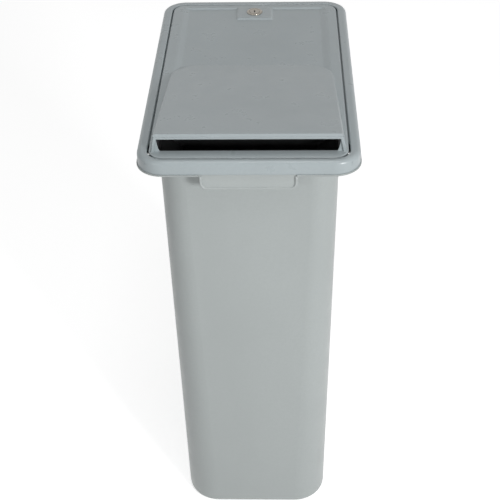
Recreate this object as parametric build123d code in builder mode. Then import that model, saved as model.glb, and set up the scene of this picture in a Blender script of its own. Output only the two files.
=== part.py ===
from build123d import *
from math import radians, tan
import os

# Bin moulding: a slim tapered tub with a shelf and an upright rim at its top
rim_top = 731.5
shelf_side = 27.25
shelf_end = 24.5
side_taper = 5.75
end_taper = 20.5
base_corner = 52.0
neck_corner = 36.0
bin_wall = 3.0
base_round = 12.0
floor_round = 9.0
foot_width = 18.0
foot_depth = 2.0
shelf_drop = 17.0
shelf_wall = 3.0
shelf_round = 4.0
rim_wall = 3.0
lip_thick = 2.0
lip_reach = 1.5

# Handle tabs that hang from the rim at both ends
tab_width = 132.0
tab_drop = 19.5
tab_wall = 3.5
tab_corner = 10.0
tab_bead = 3.2
tab_root_round = 3.0
tab_hollow = 1.3

# Lid frame: a cap that sits on the rim, with a skirt outside it
skirt_width = 302.0
skirt_length = 505.0
skirt_corner = 36.5
skirt_wall = 2.8
skirt_gap = 0.4
frame_plate = 3.0
frame_round = 6.5
strip_side = 14.5
strip_front = 10.0
strip_rear = 14.5
opening_corner = 22.0
opening_round = 2.0
inner_wall = 2.0
inner_wall_setback = 1.5
inner_wall_clear = 2.0
ledge_wall = 2.5
ledge_reach = 8.0
ledge_start = 48.0

# Lid panel: a flush plate with a recess, a lock boss and a raised hood
panel_gap = 2.2
panel_plate = 3.0
panel_round = 1.6
panel_edge_depth = 7.5
panel_edge_wall = 2.5
ledge_clear = 0.3
recess_depth = 2.5
recess_side = 15.0
recess_rear = 9.0
recess_length = 290.0
recess_corner = 14.0
recess_round = 1.1
boss_width = 53.0
boss_length = 49.0
boss_corner = 14.0
boss_root_round = 5.0

# Hood: a wedge with drafted sides, open to the front as the paper slot
hood_rise = 27.5
hood_front = 14.0
hood_length = 252.5
hood_side = 2.8
hood_narrowing = 11.5
hood_corner = 50.0
hood_draft = 11.5
hood_wall = 3.0
hood_round = 2.5
hood_nose = 2.8
slot_leg = 4.5
slot_lip = 8.0
bead_width = 3.4
bead_height = 0.8

# Hinge at the slot end: one pin through each side
hinge_setback = 13.0
hinge_drop = 4.0
pin_radius = 2.0
pin_clear = 0.06
pin_end_clear = 0.3
pin_chamfer = 0.4
ear_width = 9.0
ear_length = 12.0
ear_depth = 12.0
hinge_boss_width = 3.4
hinge_boss_length = 10.0
hinge_boss_depth = 10.0

# Paper chute under the hood
chute_wall = 2.0
chute_side_clear = 5.0
chute_length = 58.0
chute_neck_drop = 6.5
chute_funnel = 18.0
chute_spout = 18.0
chute_spout_side = 26.0
chute_spout_length = 50.0
chute_clear = 0.5
chute_flange = 2.5
chute_flange_reach = 24.0
chute_toe_reach = 11.0
chute_toe_margin = 15.0
chute_boss_radius = 5.0
chute_boss_drop = 6.5
chute_screw_inset = 27.0

# Cam lock at the other end
lock_setback = 28.0
lock_head_radius = 13.0
lock_head_thick = 1.8
lock_head_round = 0.6
lock_body_radius = 9.5
lock_flats = 16.0
lock_depth = 15.5
lock_fit = 0.1
plug_radius = 6.5
plug_face_radius = 8.2
plug_face_depth = 1.5
plug_recess = 0.3
plug_clear = 0.05
keyway_width = 1.8
keyway_length = 8.0
keyway_depth = 9.0
washer_radius = 13.0
washer_thick = 1.0
nut_flats = 24.0
nut_thick = 3.5
cam_gap = 0.2
cam_thick = 2.0
cam_reach = 26.0
cam_width = 12.0
cam_hub_radius = 8.5
cam_square = 7.0
stop_washer_thick = 0.8
strike_clear = 0.5
strike_thick = 2.0
strike_width = 44.0
strike_reach = 14.0
strike_height = 12.0
strike_screw_spread = 14.0
strike_window = 50.0

# Screws
screw_radius = 1.7
screw_fit = 0.05
screw_head_radius = 3.0
screw_head_thick = 2.0
screw_slot = 0.8
chute_screw_length = 8.5
cam_screw_length = 7.0
spacer_radius = 4.0
frame_screw_pitch = 150.0
frame_screw_drop = 12.0
rear_screw_spread = 80.0
screw_tip_clear = 0.5

# Levels and places that follow from the sizes above
frame_top = rim_top + frame_plate
shelf_top = rim_top - shelf_drop
shelf_under = shelf_top - shelf_wall
floor_top = foot_depth + bin_wall
panel_under = frame_top - panel_plate
panel_edge_under = frame_top - panel_edge_depth
recess_floor = frame_top - recess_depth
pan_under = recess_floor - panel_plate
ledge_top = panel_edge_under - ledge_clear
inner_wall_bottom = shelf_top + inner_wall_clear
neck_width = skirt_width - 2 * shelf_side
neck_length = skirt_length - 2 * shelf_end
base_width = neck_width - 2 * side_taper
base_length = neck_length - 2 * end_taper
rim_inset = skirt_wall + skirt_gap
rim_width = skirt_width - 2 * rim_inset
rim_length = skirt_length - 2 * rim_inset
rim_corner = skirt_corner - rim_inset
opening_width = skirt_width - 2 * strip_side
opening_front = -skirt_length / 2 + strip_front
opening_rear = skirt_length / 2 - strip_rear
opening_length = opening_rear - opening_front
opening_middle = (opening_rear + opening_front) / 2
panel_width = opening_width - 2 * panel_gap
panel_front = opening_front + panel_gap
panel_rear = opening_rear - panel_gap
inner_face_x = opening_width / 2 + inner_wall_setback
inner_face_y = opening_rear + inner_wall_setback
hood_front_width = panel_width - 2 * hood_side
hood_rear_width = hood_front_width - 2 * hood_narrowing
hood_nose_y = panel_front + hood_front
hood_top = frame_top + hood_rise
hood_crease_y = hood_nose_y + hood_length
hood_slope = (hood_top - recess_floor) / hood_length
slot_height = hood_rise - slot_lip
slot_bottom_half = hood_front_width / 2 - slot_leg
slot_top_half = slot_bottom_half - slot_height * tan(radians(hood_draft))
recess_rear_y = panel_rear - recess_rear
boss_front_y = panel_rear - boss_length
hinge_y = panel_front + hinge_setback
hinge_z = frame_top - hinge_drop
ear_inner_x = panel_width / 2 - ear_width
chute_width = 2 * (slot_bottom_half - chute_side_clear)
chute_spout_width = chute_width - 2 * chute_spout_side
chute_screw_spread = chute_width / 2 - chute_screw_inset
chute_front = hood_nose_y + hood_nose + chute_clear
chute_rear = chute_front + chute_length
chute_middle_y = (chute_front + chute_rear) / 2
chute_neck = frame_top - chute_neck_drop
chute_toe_top = panel_under - chute_boss_drop
chute_toe_y = chute_front - chute_toe_reach / 2 - 1
chute_flange_y = chute_rear + chute_flange_reach / 2
lock_y = panel_rear - lock_setback
lock_face = frame_top + lock_head_thick
lock_bottom = frame_top - lock_depth
cam_top = lock_bottom - cam_gap - stop_washer_thick
cam_bottom = cam_top - cam_thick
strike_under = cam_top + strike_clear
strike_screw_z = strike_under + strike_thick + screw_head_radius
frame_screw_z = rim_top - frame_screw_drop

# The hood's slanted top face falls to the recess floor at the crease
hood_plane = Plane(origin=(0, hood_crease_y, recess_floor), x_dir=(1, 0, 0), z_dir=(0, hood_slope, 1))

LOW = (Align.CENTER, Align.CENTER, Align.MIN)
HIGH = (Align.CENTER, Align.CENTER, Align.MAX)


def rounded(width, length, corner, grow=0.0):
    """Rounded rectangle, grown by the same amount on every side."""
    RectangleRounded(width + 2 * grow, length + 2 * grow, corner + grow)


def tub_outline(height, grow=0.0):
    """Outline of the tapered tub at one level."""
    share = height / shelf_top
    width = base_width + (neck_width - base_width) * share
    length = base_length + (neck_length - base_length) * share
    corner = base_corner + (neck_corner - base_corner) * share
    rounded(width, length, corner, grow)


def opening_outline(grow):
    """Outline of the frame's opening, grown or shrunk."""
    with Locations((0, opening_middle)):
        rounded(opening_width, opening_length, opening_corner, grow)


def rim_outline(grow):
    """Outline of the bin's rim, grown or shrunk."""
    rounded(rim_width, rim_length, rim_corner, grow)


def screw(length, radius=screw_radius):
    """Pan-head screw along local +Z: the shank above the origin and the slotted head below it."""
    Cylinder(radius, length, align=LOW)
    Cylinder(screw_head_radius, screw_head_thick, align=HIGH)
    with Locations((0, 0, -screw_head_thick)):
        Box(2 * screw_head_radius, screw_slot, screw_head_thick, mode=Mode.SUBTRACT)


def hood_body(inset, lowered, nose_y, bottom, edge_round):
    """The hood's drafted wedge; inset and lowered, it is the hollow inside."""
    root = recess_floor - 3 * hood_round
    spread = (frame_top - root) * tan(radians(hood_draft)) - inset
    narrowing = hood_narrowing / hood_length
    front_half = hood_front_width / 2 + narrowing * hood_rise + spread
    rear_half = hood_rear_width / 2 + spread
    front_y = hood_nose_y - hood_rise
    rear_y = hood_crease_y + 1.2 * hood_round - inset
    with BuildPart() as form:
        with BuildSketch(Plane.XY.offset(root)):
            with BuildLine():
                Polyline(
                    (-front_half, front_y),
                    (front_half, front_y),
                    (rear_half, rear_y),
                    (-rear_half, rear_y),
                    close=True,
                )
            make_face()
            fillet(vertices().group_by(Axis.Y)[-1], hood_corner - inset)
        extrude(amount=hood_top - root + hood_wall, taper=hood_draft)
        split(bisect_by=hood_plane.offset(-lowered), keep=Keep.BOTTOM)
        if edge_round > 0:
            fillet(faces().sort_by(Axis.Z)[-1].edges(), edge_round)
        split(bisect_by=Plane.XZ.offset(-nose_y), keep=Keep.BOTTOM)
        split(bisect_by=Plane.XY.offset(bottom), keep=Keep.TOP)
    return form.part


# Handle tab in front view: a stretch of the lip with the tab hanging from it
with BuildSketch() as tab_face:
    with Locations((0, shelf_top)):
        Rectangle(tab_width + 4 * tab_root_round, lip_thick, align=(Align.CENTER, Align.MAX))
        Rectangle(tab_width, lip_thick + tab_drop, align=(Align.CENTER, Align.MAX))
    fillet(tab_face.vertices().group_by(Axis.Y)[0], tab_corner)
    near_tab = tab_face.vertices().filter_by_position(Axis.X, -tab_width / 2 - 0.1, tab_width / 2 + 0.1)
    fillet(near_tab.group_by(Axis.Y)[-1], tab_root_round)

tab_field_height = lip_thick + tab_drop - tab_bead
with BuildSketch() as tab_field:
    with Locations((0, shelf_top)):
        Rectangle(tab_width - 2 * lip_thick, tab_field_height, align=(Align.CENTER, Align.MAX))
    fillet(tab_field.vertices().group_by(Axis.Y)[0], tab_corner - lip_thick)

# Shallow cove across the tab's face, from the skirt down to the lip
cove_radius = (tab_field_height**2 / 4 + tab_hollow**2) / (2 * tab_hollow)
cove_y = -skirt_length / 2 - cove_radius + tab_hollow
with BuildPart() as tab_cove:
    with BuildSketch(Plane.XZ.offset(skirt_length / 2 - tab_hollow)):
        add(tab_field.sketch)
    extrude(amount=tab_hollow)
    with Locations(Location((0, cove_y, shelf_top - tab_field_height / 2), (0, 90, 0))):
        Cylinder(cove_radius, tab_width, mode=Mode.INTERSECT)

with BuildPart() as handle_tabs:
    with BuildSketch(Plane.XZ.offset(skirt_length / 2 - tab_wall)):
        add(tab_face.sketch)
    extrude(amount=tab_wall + lip_reach)
    with BuildSketch(Plane.XZ.offset(skirt_length / 2)):
        add(tab_field.sketch)
    extrude(amount=lip_reach, mode=Mode.SUBTRACT)
    add(tab_cove.part, mode=Mode.SUBTRACT)
    mirror(about=Plane.XZ)

# Out-turned lip round the rim, left open where the tabs carry it down
with BuildPart() as rim_lip:
    with BuildSketch(Plane.XY.offset(shelf_top - lip_thick)):
        rim_outline(rim_inset + lip_reach)
    extrude(amount=lip_thick)
    with BuildSketch(Plane.XY.offset(shelf_top - lip_thick)):
        rim_outline(-rim_wall / 2)
    extrude(amount=lip_thick, mode=Mode.SUBTRACT)
    with Locations((0, -skirt_length / 2, shelf_top), (0, skirt_length / 2, shelf_top)):
        Box(tab_width, 2 * lip_reach, 2 * lip_thick, mode=Mode.SUBTRACT)

# Where the frame screws and the strike screws stand: inner wall face, looking outwards
side_screw_planes = [
    Plane(origin=(side * inner_face_x, row * frame_screw_pitch, frame_screw_z), z_dir=(side, 0, 0))
    for side in (-1, 1)
    for row in (-1, 0, 1)
]
rear_screw_planes = [
    Plane(origin=(side * rear_screw_spread, inner_face_y, frame_screw_z), z_dir=(0, 1, 0))
    for side in (-1, 1)
]
strike_screw_planes = [
    Plane(origin=(side * strike_screw_spread, inner_face_y, strike_screw_z), z_dir=(0, 1, 0))
    for side in (-1, 1)
]
frame_screw_planes = side_screw_planes + rear_screw_planes
side_depth = rim_width / 2 - inner_face_x
rear_depth = rim_length / 2 - inner_face_y

# Bin body: tub, shelf, rim, lip and two handle tabs in one moulding
with BuildPart() as bin_body:
    with BuildSketch(Plane.XY):
        tub_outline(0)
    with BuildSketch(Plane.XY.offset(shelf_top)):
        tub_outline(shelf_top)
    loft()
    fillet(bin_body.edges().group_by(Axis.Z)[0], base_round)
    with BuildSketch(Plane.XY.offset(shelf_under)):
        rim_outline(0)
    extrude(amount=rim_top - shelf_under)
    with BuildSketch(Plane.XY.offset(shelf_top)):
        rim_outline(-rim_wall)
    extrude(amount=shelf_drop, mode=Mode.SUBTRACT)
    shelf_faces = bin_body.faces().filter_by(Axis.Z)
    shelf_face = shelf_faces.filter_by_position(Axis.Z, shelf_under - 0.01, shelf_under + 0.01)[0]
    fillet(shelf_face.inner_wires()[0].edges(), shelf_round)
    with BuildSketch(Plane.XY.offset(floor_top)):
        tub_outline(floor_top, -bin_wall)
    with BuildSketch(Plane.XY.offset(shelf_top)):
        tub_outline(shelf_top, -bin_wall)
    loft(mode=Mode.SUBTRACT)
    floor_edges = bin_body.edges().filter_by_position(Axis.Z, floor_top - 0.01, floor_top + 0.01)
    fillet(floor_edges, floor_round)
    with BuildSketch(Plane.XY):
        tub_outline(0, -base_round - foot_width)
    extrude(amount=foot_depth, mode=Mode.SUBTRACT)
    add(rim_lip.part)
    add(handle_tabs.part)
    for plane in frame_screw_planes:
        with Locations(plane):
            Cylinder(screw_radius + screw_fit, rim_wall + rear_depth, align=LOW, mode=Mode.SUBTRACT)
bin_body.part.label = "bin_body"

# Lid frame: plate, rounded skirt, inner wall, ledge, spacers and hinge bosses
with BuildPart() as lid_frame:
    with BuildSketch(Plane.XY.offset(shelf_top)):
        rim_outline(rim_inset)
    extrude(amount=frame_top - shelf_top)
    fillet(lid_frame.edges().group_by(Axis.Z)[-1], frame_round)
    with BuildSketch(Plane.XY.offset(shelf_top)):
        rim_outline(skirt_gap)
    extrude(amount=rim_top - shelf_top, mode=Mode.SUBTRACT)
    with BuildSketch(Plane.XY.offset(rim_top)):
        opening_outline(0)
    extrude(amount=frame_plate, mode=Mode.SUBTRACT)
    top_face = lid_frame.faces().filter_by(Axis.Z).sort_by(Axis.Z)[-1]
    fillet(top_face.inner_wires()[0].edges(), opening_round)
    with BuildSketch(Plane.XY.offset(inner_wall_bottom)):
        opening_outline(inner_wall_setback + inner_wall)
    extrude(amount=rim_top - inner_wall_bottom)
    with BuildSketch(Plane.XY.offset(inner_wall_bottom)):
        opening_outline(inner_wall_setback)
    extrude(amount=rim_top - inner_wall_bottom, mode=Mode.SUBTRACT)
    with BuildSketch(Plane.XY.offset(ledge_top - ledge_wall)):
        opening_outline(inner_wall_setback)
    extrude(amount=ledge_wall)
    with BuildSketch(Plane.XY.offset(ledge_top - ledge_wall)):
        opening_outline(inner_wall_setback - ledge_reach)
    extrude(amount=ledge_wall, mode=Mode.SUBTRACT)
    with Locations((0, opening_front + ledge_start, ledge_top)):
        Box(
            2 * inner_face_x,
            ledge_start + inner_wall_setback,
            2 * ledge_wall,
            align=(Align.CENTER, Align.MAX, Align.CENTER),
            mode=Mode.SUBTRACT,
        )
    with Locations((0, inner_face_y, ledge_top)):
        Box(
            strike_window,
            ledge_reach,
            2 * ledge_wall,
            align=(Align.CENTER, Align.MAX, Align.CENTER),
            mode=Mode.SUBTRACT,
        )
    for plane in side_screw_planes:
        with Locations(plane):
            Cylinder(spacer_radius, side_depth - rim_wall, align=LOW)
    for plane in rear_screw_planes + strike_screw_planes:
        with Locations(plane):
            Cylinder(spacer_radius, rear_depth - rim_wall, align=LOW)
    for plane in frame_screw_planes + strike_screw_planes:
        with Locations(plane):
            Cylinder(screw_radius + screw_fit, rear_depth, align=LOW, mode=Mode.SUBTRACT)
    boss_x = (opening_width + hinge_boss_width) / 2
    with Locations((-boss_x, hinge_y, rim_top), (boss_x, hinge_y, rim_top)):
        Box(hinge_boss_width, hinge_boss_length, hinge_boss_depth, align=HIGH)
    with Locations(Location((0, hinge_y, hinge_z), (0, 90, 0))):
        Cylinder(pin_radius + pin_clear, opening_width + 2 * hinge_boss_width, mode=Mode.SUBTRACT)
lid_frame.part.label = "lid_frame"

# Recess outline: a wide field with the lock boss standing in from the rear
with BuildSketch(Plane.XY.offset(recess_floor)) as recess:
    with Locations((0, recess_rear_y - recess_length / 2)):
        RectangleRounded(panel_width - 2 * recess_side, recess_length, recess_corner)
    with Locations((0, boss_front_y)):
        Rectangle(boss_width, boss_length, align=(Align.CENTER, Align.MIN), mode=Mode.SUBTRACT)
    by_front = recess.vertices().filter_by_position(Axis.Y, boss_front_y - 0.1, boss_front_y + 0.1)
    fillet(by_front.filter_by_position(Axis.X, -boss_width, boss_width), boss_corner)
    by_rear = recess.vertices().filter_by_position(Axis.Y, recess_rear_y - 0.1, recess_rear_y + 0.1)
    fillet(by_rear.filter_by_position(Axis.X, -boss_width, boss_width), boss_root_round)

# The slot in front view: as wide as the hood's drafted sides leave
with BuildSketch() as slot_face:
    with BuildLine():
        Polyline(
            (-slot_bottom_half, frame_top),
            (slot_bottom_half, frame_top),
            (slot_top_half, frame_top + slot_height),
            (-slot_top_half, frame_top + slot_height),
            close=True,
        )
    make_face()

with BuildSketch() as bead_face:
    with BuildLine():
        Polyline(
            (-slot_bottom_half - bead_width, frame_top),
            (slot_bottom_half + bead_width, frame_top),
            (slot_top_half + bead_width, frame_top + slot_height + bead_width),
            (-slot_top_half - bead_width, frame_top + slot_height + bead_width),
            close=True,
        )
    make_face()
    add(slot_face.sketch, mode=Mode.SUBTRACT)

# Hinge ears, cut to the panel's own outline
ear_x = (ear_inner_x + panel_width / 2) / 2
with BuildPart() as hinge_ears:
    with Locations((-ear_x, hinge_y, panel_under), (ear_x, hinge_y, panel_under)):
        Box(ear_width, ear_length, ear_depth - panel_plate, align=HIGH)
    with BuildSketch(Plane.XY.offset(panel_under - ear_depth)):
        opening_outline(-panel_gap)
    extrude(amount=ear_depth, mode=Mode.INTERSECT)

# Lid panel: one moulding with its recess, hood, bead, ears and screw bosses
with BuildPart() as lid_panel:
    with BuildSketch(Plane.XY.offset(panel_under)):
        opening_outline(-panel_gap)
    extrude(amount=panel_plate)
    fillet(lid_panel.edges().group_by(Axis.Z)[-1], panel_round)
    with BuildSketch(Plane.XY.offset(panel_edge_under)):
        opening_outline(-panel_gap)
    extrude(amount=panel_under - panel_edge_under)
    with BuildSketch(Plane.XY.offset(panel_edge_under)):
        opening_outline(-panel_gap - panel_edge_wall)
    extrude(amount=panel_under - panel_edge_under, mode=Mode.SUBTRACT)
    with BuildSketch(Plane.XY.offset(pan_under)):
        with Locations((0, recess_rear_y - recess_length / 2)):
            pan_width = panel_width - 2 * recess_side
            rounded(pan_width, recess_length, recess_corner, panel_plate)
    extrude(amount=panel_under - pan_under)
    add(recess.sketch)
    extrude(amount=recess_depth, mode=Mode.SUBTRACT)
    floor_face = lid_panel.faces().filter_by(Axis.Z).filter_by_position(
        Axis.Z, recess_floor - 0.01, recess_floor + 0.01
    )[0]
    fillet(floor_face.outer_wire().edges(), recess_round)
    top_face = lid_panel.faces().filter_by(Axis.Z).sort_by(Axis.Z)[-1]
    fillet(top_face.inner_wires()[0].edges(), recess_round)
    add(hood_body(0, 0, hood_nose_y, recess_floor - 1, hood_round))
    hollow_nose = hood_nose_y + hood_nose
    add(hood_body(hood_wall, hood_wall, hollow_nose, pan_under - 1, 0), mode=Mode.SUBTRACT)
    with BuildSketch(Plane.XZ.offset(-hollow_nose)):
        add(slot_face.sketch)
    extrude(amount=2 * hood_nose, mode=Mode.SUBTRACT)
    with BuildSketch(Plane.XZ.offset(-hood_nose_y)):
        add(bead_face.sketch)
    extrude(amount=bead_height)
    add(hinge_ears.part)
    for side in (-1, 1):
        with Locations(Location((side * ear_x, hinge_y, hinge_z), (0, 90, 0))):
            Cylinder(pin_radius, ear_width, mode=Mode.SUBTRACT)
    with BuildSketch(Plane.XY.offset(pan_under)):
        with Locations((0, lock_y)):
            Circle(lock_body_radius + lock_fit)
            Rectangle(lock_flats + 2 * lock_fit, 3 * lock_body_radius, mode=Mode.INTERSECT)
    extrude(amount=frame_top - pan_under, mode=Mode.SUBTRACT)
    toes = [(-chute_screw_spread, chute_toe_y), (chute_screw_spread, chute_toe_y)]
    with BuildSketch(Plane.XY.offset(chute_toe_top)):
        with Locations(toes):
            Circle(chute_boss_radius)
    extrude(amount=chute_boss_drop)
    heels = [(-chute_screw_spread, chute_flange_y), (chute_screw_spread, chute_flange_y)]
    heel_boss = hood_slope * (hood_crease_y - chute_flange_y) + recess_floor - frame_top - hood_wall / 2
    with BuildSketch(Plane.XY.offset(frame_top)):
        with Locations(heels):
            Circle(chute_boss_radius)
    extrude(amount=heel_boss)
    with BuildSketch(Plane.XY.offset(frame_top)):
        with Locations(heels):
            Circle(screw_radius + screw_fit)
    extrude(amount=chute_screw_length - chute_flange + screw_tip_clear, mode=Mode.SUBTRACT)
    with BuildSketch(Plane.XY.offset(chute_toe_top)):
        with Locations(toes):
            Circle(screw_radius + screw_fit)
    extrude(amount=chute_screw_length - chute_flange + screw_tip_clear, mode=Mode.SUBTRACT)
lid_panel.part.label = "lid_panel"


def chute_body(inset):
    """Straight throat under the hood, a funnel below it and a narrower spout."""
    throat = (chute_width - 2 * inset, chute_length - 2 * inset)
    spout = (chute_spout_width - 2 * inset, chute_spout_length - 2 * inset)
    spout_top = chute_neck - chute_funnel
    with BuildPart() as form:
        for height, size in ((chute_neck, throat), (spout_top, spout)):
            with BuildSketch(Plane.XY.offset(height)):
                with Locations((0, chute_middle_y)):
                    Rectangle(*size)
        loft()
        with BuildSketch(Plane.XY.offset(chute_neck)):
            with Locations((0, chute_middle_y)):
                Rectangle(*throat)
        extrude(amount=hood_top - chute_neck)
        with BuildSketch(Plane.XY.offset(spout_top)):
            with Locations((0, chute_middle_y)):
                Rectangle(*spout)
        extrude(amount=-chute_spout)
    return form.part


# Paper chute: its walls reach up under the hood, and screw flanges stand out front and rear
with BuildPart() as slot_chute:
    add(chute_body(0))
    split(bisect_by=hood_plane.offset(-hood_wall - chute_clear), keep=Keep.BOTTOM)
    with Locations((0, chute_middle_y, frame_top)):
        Box(
            2 * chute_screw_spread + 2 * chute_toe_margin,
            chute_length / 2 + chute_flange_reach,
            chute_flange,
            align=(Align.CENTER, Align.MIN, Align.MAX),
        )
    with Locations((0, chute_middle_y, chute_toe_top)):
        Box(
            2 * chute_screw_spread + chute_toe_margin,
            chute_length / 2 + chute_toe_reach,
            chute_flange,
            align=(Align.CENTER, Align.MAX, Align.MAX),
        )
    add(chute_body(chute_wall), mode=Mode.SUBTRACT)
    with Locations((0, chute_front, frame_top - chute_clear)):
        Box(
            chute_width - 2 * chute_wall,
            chute_wall,
            hood_rise,
            align=(Align.CENTER, Align.MIN, Align.MIN),
            mode=Mode.SUBTRACT,
        )
    for height, places in ((frame_top, heels), (chute_toe_top, toes)):
        with BuildSketch(Plane.XY.offset(height - chute_flange)):
            with Locations(places):
                Circle(screw_radius + screw_fit)
        extrude(amount=chute_flange, mode=Mode.SUBTRACT)
slot_chute.part.label = "slot_chute"

with BuildPart() as chute_screws:
    for height, places in ((frame_top, heels), (chute_toe_top, toes)):
        for x, y in places:
            with Locations((x, y, height - chute_flange)):
                screw(chute_screw_length)
chute_screws.part.label = "chute_screws"

# Hinge pins: dowels held in the panel's ears, with their free ends in the frame's bosses
pins = []
pin_end_x = opening_width / 2 + hinge_boss_width - pin_end_clear
for side, name in ((-1, "left"), (1, "right")):
    with BuildPart() as hinge_pin:
        with Locations(Plane(origin=(side * ear_inner_x, hinge_y, hinge_z), z_dir=(side, 0, 0))):
            Cylinder(pin_radius, pin_end_x - ear_inner_x, align=LOW)
        chamfer(hinge_pin.edges().filter_by(GeomType.CIRCLE), pin_chamfer)
    hinge_pin.part.label = "hinge_pin_" + name
    pins.append(hinge_pin)

# Lock barrel: round face, flatted body and a stepped bore for the plug
with BuildPart() as lock_barrel:
    with BuildSketch(Plane.XY.offset(lock_bottom)):
        with Locations((0, lock_y)):
            Circle(lock_body_radius)
            Rectangle(lock_flats, 3 * lock_body_radius, mode=Mode.INTERSECT)
    extrude(amount=lock_depth)
    with BuildSketch(Plane.XY.offset(frame_top)):
        with Locations((0, lock_y)):
            Circle(lock_head_radius)
    extrude(amount=lock_head_thick)
    fillet(lock_barrel.edges().group_by(Axis.Z)[-1], lock_head_round)
    with BuildSketch(Plane.XY.offset(lock_bottom)):
        with Locations((0, lock_y)):
            Circle(plug_radius + plug_clear)
    extrude(amount=lock_face - lock_bottom, mode=Mode.SUBTRACT)
    with BuildSketch(Plane.XY.offset(lock_face - plug_face_depth)):
        with Locations((0, lock_y)):
            Circle(plug_face_radius + plug_clear)
    extrude(amount=plug_face_depth, mode=Mode.SUBTRACT)
lock_barrel.part.label = "lock_barrel"

with BuildPart() as lock_washer:
    with BuildSketch(Plane.XY.offset(pan_under - washer_thick)):
        with Locations((0, lock_y)):
            Circle(washer_radius)
            Circle(lock_body_radius + lock_fit, mode=Mode.SUBTRACT)
    extrude(amount=washer_thick)
lock_washer.part.label = "lock_washer"

with BuildPart() as lock_nut:
    with BuildSketch(Plane.XY.offset(pan_under - washer_thick - nut_thick)):
        with Locations((0, lock_y)):
            RegularPolygon(nut_flats / 2, 6, major_radius=False)
            Circle(lock_body_radius + lock_fit, mode=Mode.SUBTRACT)
    extrude(amount=nut_thick)
lock_nut.part.label = "lock_nut"

# Plug: stepped face with the keyway, and a square tail that drives the cam
with BuildPart() as lock_plug:
    with BuildSketch(Plane.XY.offset(lock_bottom - cam_gap)):
        with Locations((0, lock_y)):
            Circle(plug_radius)
    extrude(amount=lock_face - plug_recess - lock_bottom + cam_gap)
    with BuildSketch(Plane.XY.offset(lock_face - plug_face_depth + plug_clear)):
        with Locations((0, lock_y)):
            Circle(plug_face_radius)
    extrude(amount=plug_face_depth - plug_recess - plug_clear)
    with BuildSketch(Plane.XY.offset(lock_face)):
        with Locations((0, lock_y)):
            Rectangle(keyway_width, keyway_length)
    extrude(amount=-keyway_depth, mode=Mode.SUBTRACT)
    with BuildSketch(Plane.XY.offset(cam_bottom)):
        with Locations((0, lock_y)):
            Rectangle(cam_square, cam_square)
    extrude(amount=lock_bottom - cam_gap - cam_bottom)
    with BuildSketch(Plane.XY.offset(cam_bottom)):
        with Locations((0, lock_y)):
            Circle(screw_radius + screw_fit)
    extrude(amount=cam_screw_length + screw_tip_clear, mode=Mode.SUBTRACT)
lock_plug.part.label = "lock_plug"

with BuildPart() as cam_stop_washer:
    with BuildSketch(Plane.XY.offset(cam_top)):
        with Locations((0, lock_y)):
            Circle(cam_hub_radius)
            Rectangle(cam_square + lock_fit, cam_square + lock_fit, mode=Mode.SUBTRACT)
    extrude(amount=stop_washer_thick)
cam_stop_washer.part.label = "cam_stop_washer"

# Cam, at rest along +X: a quarter turn swings it under the strike
with BuildPart() as lock_cam:
    with BuildSketch(Plane.XY.offset(cam_bottom)):
        with Locations((0, lock_y)):
            Circle(cam_hub_radius)
            Rectangle(cam_reach, cam_width, align=(Align.MIN, Align.CENTER))
        fillet(vertices().group_by(Axis.X)[-1], cam_width / 4)
        with Locations((0, lock_y)):
            Rectangle(cam_square + lock_fit, cam_square + lock_fit, mode=Mode.SUBTRACT)
    extrude(amount=cam_thick)
lock_cam.part.label = "lock_cam"

with BuildPart() as cam_screw:
    with Locations((0, lock_y, cam_bottom)):
        screw(cam_screw_length)
cam_screw.part.label = "cam_screw"

# Strike: an angle on the frame's rear wall whose lower leg the cam passes under
with BuildPart() as strike_plate:
    with Locations((0, inner_face_y, strike_under)):
        Box(strike_width, strike_reach, strike_thick, align=(Align.CENTER, Align.MAX, Align.MIN))
        Box(strike_width, strike_thick, strike_height, align=(Align.CENTER, Align.MAX, Align.MIN))
    for plane in strike_screw_planes:
        with Locations(plane):
            Cylinder(screw_radius + screw_fit, 3 * strike_thick, mode=Mode.SUBTRACT)
strike_plate.part.label = "strike_plate"

with BuildPart() as strike_screws:
    for plane in strike_screw_planes:
        with Locations(plane.offset(-strike_thick)):
            screw(strike_thick + rear_depth - rim_wall - screw_tip_clear)
strike_screws.part.label = "strike_screws"

with BuildPart() as frame_screws:
    for plane in side_screw_planes:
        with Locations(plane):
            screw(side_depth - screw_tip_clear)
    for plane in rear_screw_planes:
        with Locations(plane):
            screw(rear_depth - screw_tip_clear)
frame_screws.part.label = "frame_screws"

os.makedirs("parts", exist_ok=True)
for piece in (
    bin_body,
    lid_frame,
    frame_screws,
    strike_plate,
    strike_screws,
    lid_panel,
    slot_chute,
    chute_screws,
    *pins,
    lock_barrel,
    lock_washer,
    lock_nut,
    lock_plug,
    cam_stop_washer,
    lock_cam,
    cam_screw,
):
    export_step(piece.part, "parts/" + piece.part.label + ".step")
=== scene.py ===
"""Lockable paper bin: finished pieces, materials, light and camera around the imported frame."""

import math

import bmesh
import bpy
from mathutils import Matrix, Vector


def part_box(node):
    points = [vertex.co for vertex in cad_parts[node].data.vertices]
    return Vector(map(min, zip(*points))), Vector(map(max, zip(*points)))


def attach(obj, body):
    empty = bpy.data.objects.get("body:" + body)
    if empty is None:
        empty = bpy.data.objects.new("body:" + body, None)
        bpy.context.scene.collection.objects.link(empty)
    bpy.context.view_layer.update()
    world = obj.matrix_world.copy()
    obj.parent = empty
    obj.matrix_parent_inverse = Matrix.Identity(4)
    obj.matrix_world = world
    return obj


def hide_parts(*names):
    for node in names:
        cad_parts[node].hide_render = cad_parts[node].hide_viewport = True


bl_info = {
    "name": "Lockable Paper Bin",
    "version": (1, 0, 0),
    "blender": (4, 5, 0),
    "location": "3D View > Sidebar > Paper Bin",
    "description": "Builds a slim lockable paper bin with its lid, chute, lock and screws",
    "category": "Add Mesh",
}

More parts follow.
